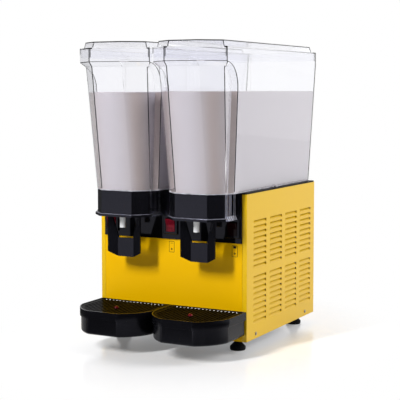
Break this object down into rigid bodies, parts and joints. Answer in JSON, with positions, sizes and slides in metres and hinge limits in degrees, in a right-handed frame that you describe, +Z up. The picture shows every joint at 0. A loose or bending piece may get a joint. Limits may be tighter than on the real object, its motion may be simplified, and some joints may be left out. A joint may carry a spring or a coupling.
{
  "type": "cold drink dispenser",
  "caption": "Countertop cold drink dispenser: clear overhanging bowls on a louvred yellow cooling housing, push-lever taps, rocker switches and pull-out drip trays.",
  "frame": {"origin": "middle of the footprint, on the floor under the feet", "axes": "+Z up, the taps and trays face -Y, +X to the right as seen from the front"},
  "size_m": [0.3736, 0.543, 0.675],
  "materials": {
    "yellow_enamel": "gloss",
    "zinc_sheet": "satin",
    "black_deck": "satin",
    "black_gloss": "gloss",
    "black_satin": "satin",
    "red_plastic": "gloss",
    "clear_plastic": "clear",
    "white_plastic": "gloss",
    "stainless": "brushed",
    "seal_rubber": "matte",
    "motor_casing": "satin",
    "compressor_black": "gloss",
    "finned_aluminium": "satin",
    "copper": "bright",
    "control_plastic": "matte"
  },
  "bodies": {
    "housing": {"base_pan": "zinc_sheet", "rubber_feet": "seal_rubber", "side_panel_left": "yellow_enamel", "side_panel_right": "yellow_enamel", "front_panel": "yellow_enamel", "control_panel": "black_gloss", "rear_panel": "yellow_enamel", "cable_gland": "black_satin", "top_deck": "black_deck", "panel_screws": "stainless", "switch_frame_left": "black_gloss", "switch_frame_middle": "black_gloss", "switch_frame_right": "black_gloss", "evaporator_left": "stainless", "evaporator_right": "stainless", "bowl_gasket_left": "seal_rubber", "bowl_gasket_right": "seal_rubber", "stir_motor_left": "motor_casing", "stir_motor_right": "motor_casing", "compressor": "compressor_black", "compressor_mounts": "seal_rubber", "condenser": "finned_aluminium", "fan_shroud": "zinc_sheet", "fan_motor": "motor_casing", "filter_drier": "copper", "refrigerant_lines": "copper", "thermostat": "control_plastic"},
    "condenser_fan": {"condenser_fan": "white_plastic"},
    "bowl_left": {"bowl_left": "clear_plastic", "tap_collar_left": "black_gloss", "tap_barrel_left": "white_plastic", "spout_left": "white_plastic", "lever_pin_left": "stainless", "tap_spring_left": "stainless"},
    "lid_left": {"lid_left": "clear_plastic"},
    "tap_lever_left": {"tap_lever_left": "black_gloss"},
    "tap_piston_left": {"tap_piston_left": "white_plastic"},
    "drip_tray_left": {"drip_tray_left": "black_satin"},
    "drip_grille_left": {"drip_grille_left": "black_satin"},
    "tray_float_left": {"tray_float_left": "red_plastic"},
    "impeller_left": {"impeller_left": "white_plastic"},
    "drive_magnet_left": {"drive_magnet_left": "motor_casing"},
    "bowl_right": {"bowl_right": "clear_plastic", "tap_collar_right": "black_gloss", "tap_barrel_right": "white_plastic", "spout_right": "white_plastic", "lever_pin_right": "stainless", "tap_spring_right": "stainless"},
    "lid_right": {"lid_right": "clear_plastic"},
    "tap_lever_right": {"tap_lever_right": "black_gloss"},
    "tap_piston_right": {"tap_piston_right": "white_plastic"},
    "drip_tray_right": {"drip_tray_right": "black_satin"},
    "drip_grille_right": {"drip_grille_right": "black_satin"},
    "tray_float_right": {"tray_float_right": "red_plastic"},
    "impeller_right": {"impeller_right": "white_plastic"},
    "drive_magnet_right": {"drive_magnet_right": "motor_casing"},
    "rocker_left": {"rocker_left": "red_plastic"},
    "rocker_middle": {"rocker_middle": "red_plastic"},
    "rocker_right": {"rocker_right": "red_plastic"}
  },
  "joints": [
    {"name": "condenser_fan_spin", "type": "hinge", "parent": "housing", "child": "condenser_fan", "pos_m": [0.119, 0.0905, 0.1252], "axis": [1, 0, 0], "continuous": true},
    {"name": "bowl_left_lift", "type": "slide", "parent": "housing", "child": "bowl_left", "axis": [0, 0, 1], "range_m": [0, 0.15]},
    {"name": "lid_left_lift", "type": "slide", "parent": "bowl_left", "child": "lid_left", "axis": [0, 0, 1], "range_m": [0, 0.06]},
    {"name": "tap_lever_left_push", "type": "hinge", "parent": "bowl_left", "child": "tap_lever_left", "pos_m": [-0.0925, -0.1945, 0.315], "axis": [1, 0, 0], "range_deg": [0, 15], "stiffness_Nm_per_rad": 0.6, "springref_deg": -11.46},
    {"name": "tap_piston_left_rise", "type": "slide", "parent": "bowl_left", "child": "tap_piston_left", "axis": [0, 0, 1], "range_m": [0, 0.0034], "deforming": ["tap_spring_left"]},
    {"name": "drip_tray_left_pull", "type": "slide", "parent": "housing", "child": "drip_tray_left", "axis": [0, -1, 0], "range_m": [0, 0.06]},
    {"name": "drip_grille_left_lift", "type": "slide", "parent": "drip_tray_left", "child": "drip_grille_left", "axis": [0, 0, 1], "range_m": [0, 0.03]},
    {"name": "tray_float_left_rise", "type": "slide", "parent": "drip_tray_left", "child": "tray_float_left", "axis": [0, 0, 1], "range_m": [0, 0.008]},
    {"name": "drive_magnet_left_spin", "type": "hinge", "parent": "housing", "child": "drive_magnet_left", "pos_m": [-0.0925, 0.0555, 0.411], "axis": [0, 0, 1], "continuous": true},
    {"name": "impeller_left_spin", "type": "hinge", "parent": "housing", "child": "impeller_left", "pos_m": [-0.0925, 0.0555, 0.428], "axis": [0, 0, 1], "continuous": true},
    {"name": "bowl_right_lift", "type": "slide", "parent": "housing", "child": "bowl_right", "axis": [0, 0, 1], "range_m": [0, 0.15]},
    {"name": "lid_right_lift", "type": "slide", "parent": "bowl_right", "child": "lid_right", "axis": [0, 0, 1], "range_m": [0, 0.06]},
    {"name": "tap_lever_right_push", "type": "hinge", "parent": "bowl_right", "child": "tap_lever_right", "pos_m": [0.0925, -0.1945, 0.315], "axis": [1, 0, 0], "range_deg": [0, 15], "stiffness_Nm_per_rad": 0.6, "springref_deg": -11.46},
    {"name": "tap_piston_right_rise", "type": "slide", "parent": "bowl_right", "child": "tap_piston_right", "axis": [0, 0, 1], "range_m": [0, 0.0034], "deforming": ["tap_spring_right"]},
    {"name": "drip_tray_right_pull", "type": "slide", "parent": "housing", "child": "drip_tray_right", "axis": [0, -1, 0], "range_m": [0, 0.06]},
    {"name": "drip_grille_right_lift", "type": "slide", "parent": "drip_tray_right", "child": "drip_grille_right", "axis": [0, 0, 1], "range_m": [0, 0.03]},
    {"name": "tray_float_right_rise", "type": "slide", "parent": "drip_tray_right", "child": "tray_float_right", "axis": [0, 0, 1], "range_m": [0, 0.008]},
    {"name": "drive_magnet_right_spin", "type": "hinge", "parent": "housing", "child": "drive_magnet_right", "pos_m": [0.0925, 0.0555, 0.411], "axis": [0, 0, 1], "continuous": true},
    {"name": "impeller_right_spin", "type": "hinge", "parent": "housing", "child": "impeller_right", "pos_m": [0.0925, 0.0555, 0.428], "axis": [0, 0, 1], "continuous": true},
    {"name": "rocker_left_tip", "type": "hinge", "parent": "housing", "child": "rocker_left", "pos_m": [-0.153, -0.1275, 0.273], "axis": [1, 0, 0], "range_deg": [-16, 0]},
    {"name": "rocker_middle_tip", "type": "hinge", "parent": "housing", "child": "rocker_middle", "pos_m": [0, -0.1275, 0.273], "axis": [1, 0, 0], "range_deg": [-16, 0]},
    {"name": "rocker_right_tip", "type": "hinge", "parent": "housing", "child": "rocker_right", "pos_m": [0.153, -0.1275, 0.273], "axis": [1, 0, 0], "range_deg": [-16, 0]}
  ],
  "couplings": [
    {"joint": "tap_piston_left_rise", "follows": "tap_lever_left_push", "m_per_rad": 0.012892},
    {"joint": "impeller_left_spin", "follows": "drive_magnet_left_spin", "ratio": 1},
    {"joint": "tap_piston_right_rise", "follows": "tap_lever_right_push", "m_per_rad": 0.012892},
    {"joint": "impeller_right_spin", "follows": "drive_magnet_right_spin", "ratio": 1}
  ]
}
